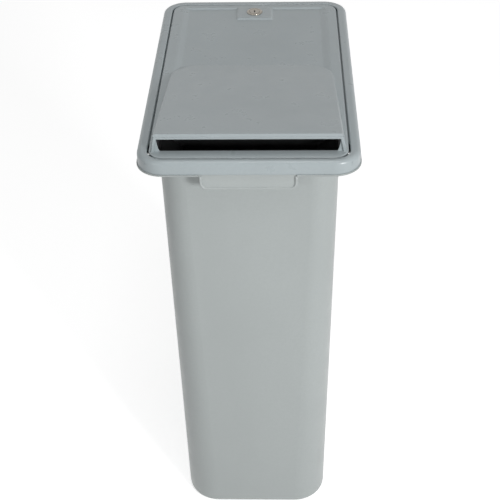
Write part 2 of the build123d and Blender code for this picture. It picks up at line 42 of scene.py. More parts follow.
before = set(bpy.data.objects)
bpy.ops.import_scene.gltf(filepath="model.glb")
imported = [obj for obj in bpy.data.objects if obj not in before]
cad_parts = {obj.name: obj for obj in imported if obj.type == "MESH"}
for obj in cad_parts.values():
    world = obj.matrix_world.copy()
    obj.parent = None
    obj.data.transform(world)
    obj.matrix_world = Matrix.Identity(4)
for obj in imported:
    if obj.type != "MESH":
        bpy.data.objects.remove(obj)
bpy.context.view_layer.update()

MM = 0.001
DUST_COLOUR = [0.55, 0.54, 0.52, 1.0]
PLASTIC_IOR = 1.49
MARK_DEPTH = 0.02 * MM
WELD = 0.002 * MM

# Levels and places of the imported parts, in metres
BARREL_LOW, BARREL_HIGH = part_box("lock_barrel")
LOCK_CENTRE = ((BARREL_LOW + BARREL_HIGH) / 2).to_2d()
LOCK_FACE = BARREL_HIGH.z
LOCK_BOTTOM = BARREL_LOW.z
CAM_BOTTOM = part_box("lock_cam")[0].z
NUT_LOW, NUT_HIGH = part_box("lock_nut")
WASHER_LOW, WASHER_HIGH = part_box("lock_washer")
LID_TOP = LOCK_FACE - 1.8 * MM


def add_node(tree, kind, inputs=None, **options):
    """Adds a node; an input given as a socket is linked, and any other is set."""
    made = tree.nodes.new(kind)
    for key, value in options.items():
        setattr(made, key, value)
    fill_inputs(tree, made, inputs or {})
    return made


def fill_inputs(tree, node, inputs):
    """Links each input that is given as a socket, and sets any other."""
    for key, value in inputs.items():
        if isinstance(value, bpy.types.NodeSocket):
            tree.links.new(value, node.inputs[key])
        else:
            node.inputs[key].default_value = value


def new_group(name, kind, inputs, outputs):
    """Empty node group with named sockets; an input is (name, socket type, default)."""
    tree = bpy.data.node_groups.new(name, kind)
    for label, socket_type, default in inputs:
        socket = tree.interface.new_socket(name=label, in_out="INPUT", socket_type=socket_type)
        if default is not None:
            socket.default_value = default
    for label, socket_type in outputs:
        tree.interface.new_socket(name=label, in_out="OUTPUT", socket_type=socket_type)
    return tree, tree.nodes.new("NodeGroupInput"), tree.nodes.new("NodeGroupOutput")


def math_node(tree, operation, first, second=0.0, clamp=False):
    """Result of one sum on two values or sockets."""
    values = {0: first, 1: second}
    made = add_node(tree, "ShaderNodeMath", values, operation=operation, use_clamp=clamp)
    return made.outputs[0]


def noise(tree, vector, scale, detail, roughness):
    """Value of a noise texture, 0 to 1."""
    inputs = {"Vector": vector, "Scale": scale, "Detail": detail, "Roughness": roughness}
    return add_node(tree, "ShaderNodeTexNoise", inputs).outputs["Fac"]


def remap(tree, value, low, high, new_low=0.0, new_high=1.0):
    """Value moved smoothly from one range into another, and held there."""
    inputs = {"Value": value, "From Min": low, "From Max": high}
    inputs |= {"To Min": new_low, "To Max": new_high}
    made = add_node(tree, "ShaderNodeMapRange", inputs, interpolation_type="SMOOTHSTEP")
    return made.outputs["Result"]


def stretched(tree, vector, scale, turn=(0.0, 0.0, 0.0)):
    """Coordinates turned and then scaled unevenly."""
    inputs = {"Vector": vector, "Rotation": turn, "Scale": scale}
    return add_node(tree, "ShaderNodeMapping", inputs).outputs["Vector"]


def shader_group(name, numbers, outputs, build):
    """A shader node group by its name, built the first time that it is asked for."""
    if name in bpy.data.node_groups:
        return bpy.data.node_groups[name]
    inputs = [("Vector", "NodeSocketVector", None)]
    inputs += [(label, "NodeSocketFloat", value) for label, value in numbers.items()]
    kinds = {"Normal": "NodeSocketVector"}
    sockets = [(label, kinds.get(label, "NodeSocketFloat")) for label in outputs]
    tree, given, result = new_group(name, "ShaderNodeTree", inputs, sockets)
    for label, socket in build(tree, given.outputs).items():
        tree.links.new(socket, result.inputs[label])
    return tree


def moulded_grain():
    """Height of the fine spark-eroded grain of a moulding, with a faint broad unevenness."""

    def build(tree, given):
        fine = noise(tree, given["Vector"], given["Grain Scale"], 3.0, 0.6)
        broad = noise(tree, given["Vector"], 9.0, 2.0, 0.45)
        lifted = math_node(tree, "MULTIPLY", broad, given["Unevenness"])
        return {"Height": math_node(tree, "ADD", fine, lifted)}

    numbers = {"Grain Scale": 1400.0, "Unevenness": 0.3}
    return shader_group("Moulded Grain", numbers, ["Height"], build)


def edge_wear():
    """Mask along convex and concave edges, broken up by noise, and their rounded normal."""

    def build(tree, given):
        radius = {"Radius": given["Radius"]}
        rounded = add_node(tree, "ShaderNodeBevel", radius, samples=6).outputs["Normal"]
        surface = add_node(tree, "ShaderNodeNewGeometry").outputs["Normal"]
        both = {0: rounded, 1: surface}
        product = add_node(tree, "ShaderNodeVectorMath", both, operation="DOT_PRODUCT")
        agreement = product.outputs["Value"]
        bend = remap(tree, agreement, 0.995, 0.86)
        patches = remap(tree, noise(tree, given["Vector"], 60.0, 4.0, 0.6), 0.32, 0.66)
        mask = math_node(tree, "MULTIPLY", bend, patches)
        strength = math_node(tree, "MULTIPLY", mask, given["Amount"], True)
        return {"Mask": strength, "Normal": rounded}

    numbers = {"Radius": 1.2 * MM, "Amount": 0.6}
    return shader_group("Edge Wear", numbers, ["Mask", "Normal"], build)


def fine_scuffs():
    """Mask of short hairline scuffs that run several ways, in sparse patches."""

    def build(tree, given):
        place = given["Vector"]
        courses = (((0.3, 0.5, 0.2), 90.0), ((1.2, -0.4, 0.9), 130.0), ((-0.5, 0.2, 2.0), 110.0))
        thinness = 14
        lines = None
        for turn, reach in courses:
            scale = (reach * thinness, reach, reach * thinness)
            course = stretched(tree, place, scale, turn)
            line = remap(tree, noise(tree, course, 1.0, 1.0, 0.4), 0.69, 0.8)
            lines = line if lines is None else math_node(tree, "MAXIMUM", lines, line)
        patches = remap(tree, noise(tree, place, 7.0, 3.0, 0.55), 0.5, 0.68)
        mask = math_node(tree, "MULTIPLY", lines, patches)
        return {"Mask": math_node(tree, "MULTIPLY", mask, given["Amount"], True)}

    return shader_group("Fine Scuffs", {"Amount": 0.5}, ["Mask"], build)


def settled_dust():
    """Mask of a thin film of dust on faces that look up."""

    def build(tree, given):
        surface = add_node(tree, "ShaderNodeNewGeometry").outputs["Normal"]
        upward = add_node(tree, "ShaderNodeSeparateXYZ", {"Vector": surface})
        facing = remap(tree, upward.outputs["Z"], 0.55, 1.0)
        film = remap(tree, noise(tree, given["Vector"], 22.0, 5.0, 0.62), 0.35, 0.75)
        mask = math_node(tree, "MULTIPLY", facing, film)
        return {"Mask": math_node(tree, "MULTIPLY", mask, given["Amount"], True)}

    return shader_group("Settled Dust", {"Amount": 0.3}, ["Mask"], build)


def turning_marks():
    """Height of the fine rings that a lathe leaves, round the pattern's own Z axis."""

    def build(tree, given):
        place = given["Vector"]
        inputs = {"Vector": place, "Scale": given["Ring Scale"], "Distortion": 0.6, "Detail": 2.0}
        waves = {"wave_type": "RINGS", "rings_direction": "Z"}
        rings = add_node(tree, "ShaderNodeTexWave", inputs, **waves).outputs["Fac"]
        return {"Height": rings, "Streaks": noise(tree, place, 700.0, 3.0, 0.6)}

    return shader_group("Turning Marks", {"Ring Scale": 900.0}, ["Height", "Streaks"], build)


def brushed_lines():
    """Height and streaks of metal brushed along X."""

    def build(tree, given):
        course = stretched(tree, given["Vector"], (0.03, 1.0, 1.0))
        lines = noise(tree, course, given["Line Scale"], 2.0, 0.6)
        return {"Height": lines, "Streaks": noise(tree, given["Vector"], 120.0, 3.0, 0.5)}

    return shader_group("Brushed Lines", {"Line Scale": 2500.0}, ["Height", "Streaks"], build)


def new_material(name):
    """Material with an empty tree but for its shader and output, and object coordinates."""
    material = bpy.data.materials.new(name)
    material.use_nodes = True
    tree = material.node_tree
    tree.nodes.clear()
    shader = add_node(tree, "ShaderNodeBsdfPrincipled")
    add_node(tree, "ShaderNodeOutputMaterial", {"Surface": shader.outputs["BSDF"]})
    place = add_node(tree, "ShaderNodeTexCoord").outputs["Object"]
    return material, tree, shader, place


def use_group(tree, group, **inputs):
    """Places a node group; an underscore in a name stands for the space in the socket's name."""
    sockets = {label.replace("_", " "): value for label, value in inputs.items()}
    return add_node(tree, "ShaderNodeGroup", sockets, node_tree=group)


def blend_colours(tree, share, first, second):
    """Colour between two colours or sockets."""
    made = tree.nodes.new("ShaderNodeMix")
    made.data_type = "RGBA"
    fill_inputs(tree, made, {0: share, 6: first, 7: second})
    return made.outputs[2]


def tinted(colour, factor):
    """The same colour, lighter or darker, with full alpha."""
    return [min(1.0, channel * factor) for channel in colour[:3]] + [1.0]


def add_relief(tree, shader, strength, depth, pattern, edges):
    """Bump from a pattern's height over the rounded normal of the edges."""
    relief = add_node(
        tree,
        "ShaderNodeBump",
        {
            "Strength": strength,
            "Distance": depth,
            "Height": pattern.outputs["Height"],
            "Normal": edges.outputs["Normal"],
        },
    )
    tree.links.new(relief.outputs["Normal"], shader.inputs["Normal"])


def moulded_plastic(name, colour, roughness, wear, dust, grain_depth):
    """Textured moulded plastic: resin flow tones, worn edges, hairline scuffs and a little dust."""
    material, tree, shader, place = new_material(name)
    drawn_out = stretched(tree, place, (1.0, 1.0, 0.45))
    flow = remap(tree, noise(tree, drawn_out, 6.0, 4.0, 0.55), 0.3, 0.7)
    tone = blend_colours(tree, flow, tinted(colour, 0.965), tinted(colour, 1.035))
    mottled = remap(tree, noise(tree, place, 240.0, 3.0, 0.65), 0.3, 0.7)
    mottle = math_node(tree, "MULTIPLY", mottled, 0.35)
    tone = blend_colours(tree, mottle, tone, tinted(colour, 0.93))
    radius, amount = wear["radius"], wear["amount"]
    edges = use_group(tree, edge_wear(), Vector=place, Radius=radius, Amount=amount)
    tone = blend_colours(tree, edges.outputs["Mask"], tone, tinted(colour, wear["lift"]))
    scuffs = use_group(tree, fine_scuffs(), Vector=place, Amount=wear["scuffs"])
    tone = blend_colours(tree, scuffs.outputs["Mask"], tone, tinted(colour, wear["lift"]))
    film = use_group(tree, settled_dust(), Vector=place, Amount=dust)
    tone = blend_colours(tree, film.outputs["Mask"], tone, DUST_COLOUR)
    tree.links.new(tone, shader.inputs["Base Color"])
    clouds = noise(tree, place, 35.0, 4.0, 0.6)
    shine = remap(tree, clouds, 0.25, 0.75, roughness - 0.04, roughness + 0.05)
    marked = math_node(tree, "ADD", scuffs.outputs["Mask"], film.outputs["Mask"])
    duller = math_node(tree, "MULTIPLY", marked, 0.3)
    tree.links.new(math_node(tree, "ADD", shine, duller, True), shader.inputs["Roughness"])
    grain = use_group(tree, moulded_grain(), Vector=place)
    add_relief(tree, shader, 0.25, grain_depth, grain, edges)
    shader.inputs["IOR"].default_value = PLASTIC_IOR
    return material


def plated_metal(name, colour, roughness, marks, centre=(0.0, 0.0, 0.0)):
    """Plated or bare metal with tool marks, smudges and slightly rounded edges."""
    material, tree, shader, place = new_material(name)
    centred = add_node(
        tree,
        "ShaderNodeMapping",
        {"Vector": place, "Location": [-value for value in centre]},
    ).outputs["Vector"]
    tooled = use_group(tree, marks, Vector=centred)
    smudges = remap(tree, tooled.outputs["Streaks"], 0.3, 0.7)
    tone = blend_colours(tree, smudges, tinted(colour, 0.9), tinted(colour, 1.05))
    tree.links.new(tone, shader.inputs["Base Color"])
    shine = remap(tree, tooled.outputs["Streaks"], 0.25, 0.8, roughness - 0.05, roughness + 0.08)
    tree.links.new(shine, shader.inputs["Roughness"])
    edges = use_group(tree, edge_wear(), Vector=place, Radius=0.3 * MM, Amount=0.0)
    add_relief(tree, shader, 0.3, MARK_DEPTH, tooled, edges)
    shader.inputs["Metallic"].default_value = 1.0
    return material


def finish(slot):
    """The material of one of the record's slots, made the first time it is asked for."""
    label = "finish_" + slot
    if label in bpy.data.materials:
        return bpy.data.materials[label]
    colours = bpy.context.scene.paper_bin_colours
    if slot == "bin_grey":
        wear = {"radius": 1.6 * MM, "amount": 0.22, "lift": 1.22, "scuffs": 0.0}
        return moulded_plastic(label, colours.bin_colour, 0.36, wear, 0.04, 0.09 * MM)
    if slot == "lid_grey":
        wear = {"radius": 1.2 * MM, "amount": 0.25, "lift": 1.22, "scuffs": 0.0}
        return moulded_plastic(label, colours.lid_colour, 0.3, wear, 0.04, 0.07 * MM)
    if slot == "chute_black":
        # Black chute resin, made almost black so that it also paints the shade deep inside the slot
        wear = {"radius": 0.8 * MM, "amount": 0.35, "lift": 2.2, "scuffs": 0.3}
        return moulded_plastic(label, colours.chute_and_slot_shade_colour, 0.45, wear, 0.08, 0.06 * MM)
    if slot == "nickel":
        # Nickel plating, darkened so that it also paints in the dark reflections of a room round
        # the lock
        centre = (LOCK_CENTRE.x, LOCK_CENTRE.y, 0.0)
        return plated_metal(label, colours.nickel_and_dark_reflection_colour, 0.2, turning_marks(), centre)
    return plated_metal(label, colours.steel_colour, 0.3, brushed_lines())


def settle(piece, body, slot, *nodes):
    """Gives a piece its finish, makes it ride and lets it stand for its CAD nodes."""
    piece.data.materials.clear()
    piece.data.materials.append(finish(slot))
    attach(piece, body)
    if nodes:
        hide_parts(*nodes)
    return piece


def new_piece(name, data):
    """Object at the origin in the scene's own collection."""
    piece = bpy.data.objects.new(name, data)
    bpy.context.scene.collection.objects.link(piece)
    return piece


def apply_modifiers(piece):
    """Turns a piece and its modifiers into one plain mesh."""
    bpy.context.view_layer.update()
    evaluated = piece.evaluated_get(bpy.context.evaluated_depsgraph_get())
    solid = bpy.data.meshes.new_from_object(evaluated)
    solid.name = piece.name
    piece.modifiers.clear()
    piece.data = solid
    return piece


def joined_copy(node):
    """Welded copy of a CAD node's mesh, its flat areas freed of their inner edges."""
    form = bmesh.new()
    form.from_mesh(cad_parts[node].data)
    bmesh.ops.remove_doubles(form, verts=form.verts, dist=WELD)
    bmesh.ops.dissolve_limit(
        form, angle_limit=math.radians(0.4), verts=form.verts, edges=form.edges
    )
    for face in form.faces:
        face.smooth = True
    return form


def corner_vectors(data, mesh):
    """Flat list of one vector for each of a mesh's face corners."""
    values = [0.0] * (3 * len(mesh.loops))
    data.foreach_get("vector", values)
    return values


def carried_mesh(name, node, cuts=(), move=None):
    """Welded copy of a CAD node's mesh with its exact normals, cut and reshaped if asked."""
    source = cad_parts[node].data.copy()
    store = source.attributes.new("kept_normal", "FLOAT_VECTOR", "CORNER")
    store.data.foreach_set("vector", corner_vectors(source.corner_normals, source))
    form = bmesh.new()
    form.from_mesh(source)
    bpy.data.meshes.remove(source)
    bmesh.ops.remove_doubles(form, verts=form.verts, dist=WELD)
    for chosen, place, direction in cuts:
        faces = [face for face in form.faces if chosen(face)]
        edges = list({edge for face in faces for edge in face.edges})
        verts = list({vert for face in faces for vert in face.verts})
        bmesh.ops.bisect_plane(
            form, geom=verts + edges + faces, dist=0.001 * MM, plane_co=place, plane_no=direction
        )
    kept = form.loops.layers.float_vector["kept_normal"]
    for face in form.faces:
        face.smooth = True
    if move:
        for face in form.faces:
            for corner in face.loops:
                corner[kept] = turned_normal(move, corner.vert.co, corner[kept])
        for vert in form.verts:
            vert.co = move(vert.co)
    mesh = mesh_from(form, name)
    store = mesh.attributes["kept_normal"]
    normals = corner_vectors(store.data, mesh)
    mesh.attributes.remove(store)
    mesh.normals_split_custom_set(list(zip(normals[0::3], normals[1::3], normals[2::3])))
    return mesh


def turned_normal(move, place, normal):
    """The normal of a surface at a place, after the surface has been reshaped."""
    step = 0.01 * MM
    moved = move(place)
    near = [move(place + Vector(offset)) for offset in ((step, 0, 0), (0, step, 0), (0, 0, step))]
    stretch = Matrix([(point - moved) / step for point in near]).transposed()
    if abs(stretch.determinant()) < 1e-4:
        return normal
    return (stretch.inverted().transposed() @ Vector(normal)).normalized()


def moulded_part(name, body, slot, node, cuts=(), move=None):
    """A CAD moulding carried over with its exact curves, and reshaped where asked."""
    piece = new_piece(name, carried_mesh(name, node, cuts, move))
    return settle(piece, body, slot, node)


def bridged_piece(name, rings):
    """New piece with faces between its rings of points and with both ends capped."""
    form = bmesh.new()
    rings = [[form.verts.new(point) for point in ring] for ring in rings]
    for first, second in zip(rings, rings[1:]):
        for step in range(len(first)):
            after = (step + 1) % len(first)
            form.faces.new((first[step], first[after], second[after], second[step]))
    form.faces.new(rings[0])
    form.faces.new(list(reversed(rings[-1])))
    bmesh.ops.recalc_face_normals(form, faces=form.faces)
    return new_piece(name, mesh_from(form, name))


def ease(value):
    """Smooth step from 0 to 1."""
    value = min(1.0, max(0.0, value))
    return value * value * (3.0 - 2.0 * value)


def mesh_from(form, name):
    """Mesh of a bmesh, which is then freed."""
    mesh = bpy.data.meshes.new(name)
    form.to_mesh(mesh)
    form.free()
    return mesh


def softened_part(name, body, slot, width, node):
    """A CAD part with its sharp edges rounded a little and its shading evened out."""
    piece = new_piece(name, mesh_from(joined_copy(node), name))
    edge_round = piece.modifiers.new("Edge round", "BEVEL")
    edge_round.width = width
    edge_round.segments = 2
    edge_round.limit_method = "ANGLE"
    edge_round.angle_limit = math.radians(32)
    edge_round.use_clamp_overlap = False
    even = piece.modifiers.new("Even shading", "WEIGHTED_NORMAL")
    even.weight = 80
    return settle(apply_modifiers(piece), body, slot, node)


def shade(form, crease):
    """Smooth shading, with every edge sharp that bends by more than the crease angle."""
    for face in form.faces:
        face.smooth = True
    for edge in form.edges:
        if len(edge.link_faces) == 2 and edge.calc_face_angle() > math.radians(crease):
            edge.smooth = False


def turn_profile(form, profile, steps, place):
    """Surface round a vertical axis from a closed or open profile of (radius, height)."""
    rings = []
    for radius, height in profile:
        ring = []
        for step in range(steps if radius > 1e-7 else 1):
            angle = 2 * math.pi * step / steps
            point = place(radius * math.cos(angle), radius * math.sin(angle), height)
            ring.append(form.verts.new(point))
        rings.append(ring)
    for first, second in zip(rings, rings[1:]):
        for step in range(steps):
            after = step + 1
            corners = [
                first[step % len(first)],
                first[after % len(first)],
                second[after % len(second)],
                second[step % len(second)],
            ]
            unique = list(dict.fromkeys(corners))
            if len(unique) > 2:
                form.faces.new(unique)


def turned_part(name, profile, steps, place, crease=40.0):
    """New piece made on a lathe, closed, with its faces outwards."""
    form = bmesh.new()
    turn_profile(form, profile, steps, place)
    bmesh.ops.remove_doubles(form, verts=form.verts, dist=0.001 * MM)
    bmesh.ops.dissolve_degenerate(form, dist=0.0005 * MM, edges=form.edges)
    bmesh.ops.recalc_face_normals(form, faces=form.faces)
    shade(form, crease)
    return new_piece(name, mesh_from(form, name))


def arc(centre, radius, start, end, steps):
    """Points of an arc in a profile, in degrees from outwards to upwards."""
    points = []
    for step in range(steps + 1):
        angle = math.radians(start + (end - start) * step / steps)
        points.append((centre[0] + radius * math.cos(angle), centre[1] + radius * math.sin(angle)))
    return points


def screw_tree():
    """Geometry nodes that put a pan-head screw with a cross recess on every seat."""
    name = "Pan Head Screws"
    if name in bpy.data.node_groups:
        return bpy.data.node_groups[name]
    lengths = {
        "Head Radius": 3.0 * MM,
        "Head Height": 2.0 * MM,
        "Shank Radius": 1.7 * MM,
        "Shank Length": 9.0 * MM,
        "Recess Width": 0.8 * MM,
        "Recess Depth": 1.1 * MM,
    }
    inputs = [("Geometry", "NodeSocketGeometry", None)]
    inputs += [(label, "NodeSocketFloat", value) for label, value in lengths.items()]
    inputs += [("Seed", "NodeSocketInt", 3), ("Finish", "NodeSocketMaterial", None)]
    outputs = [("Geometry", "NodeSocketGeometry")]
    tree, given, result = new_group(name, "GeometryNodeTree", inputs, outputs)
    sides = 28

    def made(kind, inputs, **options):
        return add_node(tree, kind, inputs, **options).outputs[0]

    def scaled(socket, factor):
        return math_node(tree, "MULTIPLY", given.outputs[socket], factor)

    def moved(geometry, height, turn=0.0):
        offset = made("ShaderNodeCombineXYZ", {"Z": height})
        place = {"Geometry": geometry, "Translation": offset, "Rotation": (0.0, 0.0, turn)}
        return made("GeometryNodeTransform", place)

    def frustum(low_radius, high_radius, low, depth, fill="NONE"):
        radii = {"Radius Bottom": low_radius, "Radius Top": high_radius}
        cone = {"Vertices": sides, "Depth": depth} | radii
        return moved(made("GeometryNodeMeshCone", cone, fill_type=fill), low)

    def disc(radius):
        circle = {"Vertices": sides, "Radius": radius}
        return made("GeometryNodeMeshCircle", circle, fill_type="NGON")

    # The head's dome looks down local Z; each step is (share of height, share of radius)
    dome = [(0.0, 1.0), (0.42, 1.0), (0.66, 0.95), (0.84, 0.84), (0.95, 0.66), (1.0, 0.42)]
    bands = join_of(tree)
    for (near, wide), (far, narrow) in zip(dome, dome[1:]):
        low = scaled("Head Height", -far)
        depth = scaled("Head Height", far - near)
        bands(frustum(scaled("Head Radius", narrow), scaled("Head Radius", wide), low, depth))
    bands(moved(disc(scaled("Head Radius", dome[-1][1])), scaled("Head Height", -1.0)))
    bands(disc(given.outputs["Head Radius"]))
    joined = {"Geometry": bands.node.outputs[0], "Distance": WELD}
    head = made("GeometryNodeMergeByDistance", joined)
    recess = join_of(tree)
    for turn in (0.0, math.pi / 2):
        sizes = {
            "X": scaled("Head Radius", 1.16),
            "Y": given.outputs["Recess Width"],
            "Z": scaled("Recess Depth", 2.0),
        }
        bar = made("GeometryNodeMeshCube", {"Size": made("ShaderNodeCombineXYZ", sizes)})
        recess(moved(bar, scaled("Head Height", -1.0), turn))
    cutter = {"Mesh 1": head, "Mesh 2": recess.node.outputs[0]}
    cut = made("GeometryNodeMeshBoolean", cutter, operation="DIFFERENCE")
    radius = given.outputs["Shank Radius"]
    point = scaled("Shank Radius", 1.4)
    length = math_node(tree, "SUBTRACT", given.outputs["Shank Length"], point)
    shank = join_of(tree)
    shank(frustum(radius, radius, 0.0, length, "NGON"))
    shank(frustum(radius, scaled("Shank Radius", 0.3), length, point, "NGON"))
    whole = join_of(tree)
    whole(cut)
    whole(shank.node.outputs[0])
    stored = {"Name": "axis"}
    kind = "GeometryNodeInputNamedAttribute"
    axis = add_node(tree, kind, stored, data_type="FLOAT_VECTOR").outputs["Attribute"]
    seats = {
        "Points": given.outputs["Geometry"],
        "Instance": whole.node.outputs[0],
        "Rotation": made("FunctionNodeAlignRotationToVector", {"Vector": axis}, axis="Z"),
    }
    seated = made("GeometryNodeInstanceOnPoints", seats)
    seed = {"Seed": given.outputs["Seed"]}
    spin = add_node(tree, "FunctionNodeRandomValue", seed, data_type="FLOAT")
    spin.inputs[2].default_value = 0.0
    spin.inputs[3].default_value = math.pi / 2
    about = made("ShaderNodeCombineXYZ", {"Z": spin.outputs[1]})
    spun = made("GeometryNodeRotateInstances", {"Instances": seated, "Rotation": about})
    real = made("GeometryNodeRealizeInstances", {"Geometry": spun})
    paint = {"Geometry": real, "Material": given.outputs["Finish"]}
    tree.links.new(made("GeometryNodeSetMaterial", paint), result.inputs["Geometry"])
    return tree


def join_of(tree):
    """A Join Geometry node that is called with each geometry to add."""
    node = tree.nodes.new("GeometryNodeJoinGeometry")

    def take(geometry):
        tree.links.new(geometry, node.inputs[0])

    take.node = node
    return take


def screw_set(name, body, node, seats, sizes):
    """Screws at their seats, as one plain mesh; a seat is (place, axis)."""
    mesh = bpy.data.meshes.new(name)
    mesh.from_pydata([place for place, axis in seats], [], [])
    axes = mesh.attributes.new("axis", "FLOAT_VECTOR", "POINT")
    axes.data.foreach_set("vector", [value for place, axis in seats for value in axis])
    piece = new_piece(name, mesh)
    modifier = piece.modifiers.new("Screws", "NODES")
    modifier.node_group = screw_tree()
    wanted = dict(sizes)
    wanted["Finish"] = finish("steel")
    for item in modifier.node_group.interface.items_tree:
        if item.in_out == "INPUT" and item.name in wanted:
            modifier[item.identifier] = wanted[item.name]
    apply_modifiers(piece)
    form = bmesh.new()
    form.from_mesh(piece.data)
    shade(form, 35.0)
    form.to_mesh(piece.data)
    form.free()
    return settle(piece, body, "steel", node)


def colour_setting(name, description, red, green, blue):
    """Property for an opaque linear colour."""
    return bpy.props.FloatVectorProperty(
        name=name,
        description=description,
        subtype="COLOR",
        size=4,
        min=0.0,
        max=1.0,
        default=(red, green, blue, 1.0),
    )


def length_setting(name, description, least, default):
    """Property for a length, both lengths given in millimetres."""
    return bpy.props.FloatProperty(
        name=name,
        description=description,
        unit="LENGTH",
        min=least * MM,
        default=default * MM,
    )


def level_setting(name, place, default):
    """Property for the level of a light."""
    description = "Share of full light from " + place
    return bpy.props.FloatProperty(name=name, description=description, min=0.0, default=default)


class PaperBinColours(bpy.types.PropertyGroup):
    """Colours of the five finishes."""

    bin_colour: colour_setting("Bin colour", "Resin of the bin", 0.366, 0.396, 0.393)
    lid_colour: colour_setting("Lid colour", "Resin of frame and lid", 0.352, 0.398, 0.412)
    # Chute resin, made almost black so that it also paints the shade deep inside the slot
    chute_and_slot_shade_colour: colour_setting("Chute colour", "Resin of the chute", 0.008, 0.008, 0.009)
    # Nickel plating, darkened so that it also paints in the dark reflections of a room round the
    # lock
    nickel_and_dark_reflection_colour: colour_setting("Nickel colour", "Plating of the lock", 0.3, 0.275, 0.24)
    steel_colour: colour_setting("Steel colour", "Screws, pins and cam", 0.46, 0.46, 0.46)


class PaperBinSizes(bpy.types.PropertyGroup):
    """Edge rounds and screw sizes."""

    roll_radius: length_setting("Handle roll", "Radius of the handle tabs' roll", 0.5, 2.0)
    metal_round: length_setting("Metal edge", "Round along the edges of metal", 0.0, 0.15)
    thread_pitch: length_setting("Thread pitch", "Pitch of the lock's thread", 0.2, 1.0)
    head_radius: length_setting("Screw head radius", "Radius of screw heads", 1.0, 3.0)
    head_height: length_setting("Screw head height", "Height of screw heads", 0.5, 2.0)
    shank_radius: length_setting("Screw shank radius", "Radius of screw shanks", 0.5, 1.7)


class PaperBinStage(bpy.types.PropertyGroup):
    """Camera and lights."""

    camera_place: bpy.props.FloatVectorProperty(
        name="Camera place",
        description="Where the camera stands",
        subtype="TRANSLATION",
        default=(0.04386, -1.46283, 1.50560),
    )
    camera_turn: bpy.props.FloatVectorProperty(
        name="Camera turn",
        description="Pan, tilt and roll of the camera",
        subtype="EULER",
        default=(math.radians(2.0659), math.radians(52.897), math.radians(-1.2772)),
    )
    camera_lens: bpy.props.FloatProperty(
        name="Lens",
        description="Focal length on a 36 mm sensor, in millimetres",
        min=10.0,
        default=78.307,
    )
    key_level: level_setting("Key light", "the right front", 0.6)
    side_level: level_setting("Side light", "the left front", 0.08)
    top_level: level_setting("Top light", "above the front", 0.17)
    fill_level: level_setting("Fill", "all round", 0.31)


class PAPERBIN_OT_tub(bpy.types.Operator):
    """Builds the tapered tub with its shelf, rim, lip and handle tabs"""

    bl_idname = "paper_bin.tub"
    bl_label = "Tub"

    def execute(self, context):
        moulded_part("tub_moulding", "bin", "bin_grey", "bin_body", move=self.draw_back)
        for side, name in ((-1, "front"), (1, "rear")):
            self.handle_roll(side, "handle_roll_" + name, context.scene.paper_bin_sizes.roll_radius)
        return {"FINISHED"}

    def draw_back(self, place):
        """Draws the flat ridge round each handle tab back, to make room for its roll."""
        tab_face = 252.5 * MM
        half = 70.0 * MM
        root = 712.4 * MM
        if abs(place.y) <= tab_face or place.z > root or abs(place.x) > half:
            return place.copy()
        return Vector((place.x, math.copysign(tab_face, place.y), place.z))

    def handle_roll(self, side, name, radius):
        """Round roll that edges a handle tab at its sides and bottom."""
        half = 66.0 * MM - radius
        bottom = 690.6 * MM + radius
        top = 713.0 * MM
        bend = 9.0 * MM
        middle = (top + bottom + bend) / 2
        line = [(-half, top), (-half, middle)]
        for centre, start in ((-half + bend, 180), (half - bend, 270)):
            line += arc((centre, bottom + bend), bend, start, start + 90, 8)
        line += [(half, middle), (half, top)]
        level = side * (254.0 * MM - radius)
        sides = 16
        rings = []
        for index, (x, z) in enumerate(line):
            before = line[max(0, index - 1)]
            after = line[min(len(line) - 1, index + 1)]
            along = Vector((after[0] - before[0], 0.0, after[1] - before[1])).normalized()
            across = Vector((along.z, 0.0, -along.x)) * radius
            outwards = Vector((0.0, radius, 0.0))
            ring = []
            for step in range(sides):
                angle = 2 * math.pi * step / sides
                offset = across * math.cos(angle) + outwards * math.sin(angle)
                ring.append(Vector((x, level, z)) + offset)
            rings.append(ring)
        piece = bridged_piece(name, rings)
        for face in piece.data.polygons:
            face.use_smooth = len(face.vertices) == 4
        settle(piece, "bin", "bin_grey")


class PAPERBIN_OT_lid_frame(bpy.types.Operator):
    """Builds the frame that caps the rim and carries the lid"""

    bl_idname = "paper_bin.lid_frame"
    bl_label = "Lid frame"

    def execute(self, context):
        moulded_part("frame_moulding", "bin", "lid_grey", "lid_frame")
        self.front_ledge()
        return {"FINISHED"}

    def front_ledge(self):
        """Slim ledge in the frame's opening, just below the lid's front edge."""
        half, front, corner = 136.5 * MM, -242.5 * MM, 22.0 * MM
        # Each point is (inset from the opening's edge, level), in millimetres
        section = [(0.05, 728.0), (0.05, 733.6), (0.45, 733.7)]
        section += [(0.95, 733.4), (1.3, 732.6), (1.3, 728.0)]
        ends = ((corner - half, 238), (half - corner, 270))
        turn, steps = 32, 10
        rings = []
        for x, start in ends:
            for step in range(steps + 1):
                angle = math.radians(start + turn * step / steps)
                across, along = math.cos(angle), math.sin(angle)
                ring = []
                for inset, level in section:
                    reach = corner - inset * MM
                    place = (x + across * reach, front + corner + along * reach, level * MM)
                    ring.append(place)
                rings.append(ring)
        settle(bridged_piece("front_ledge", rings), "bin", "lid_grey")


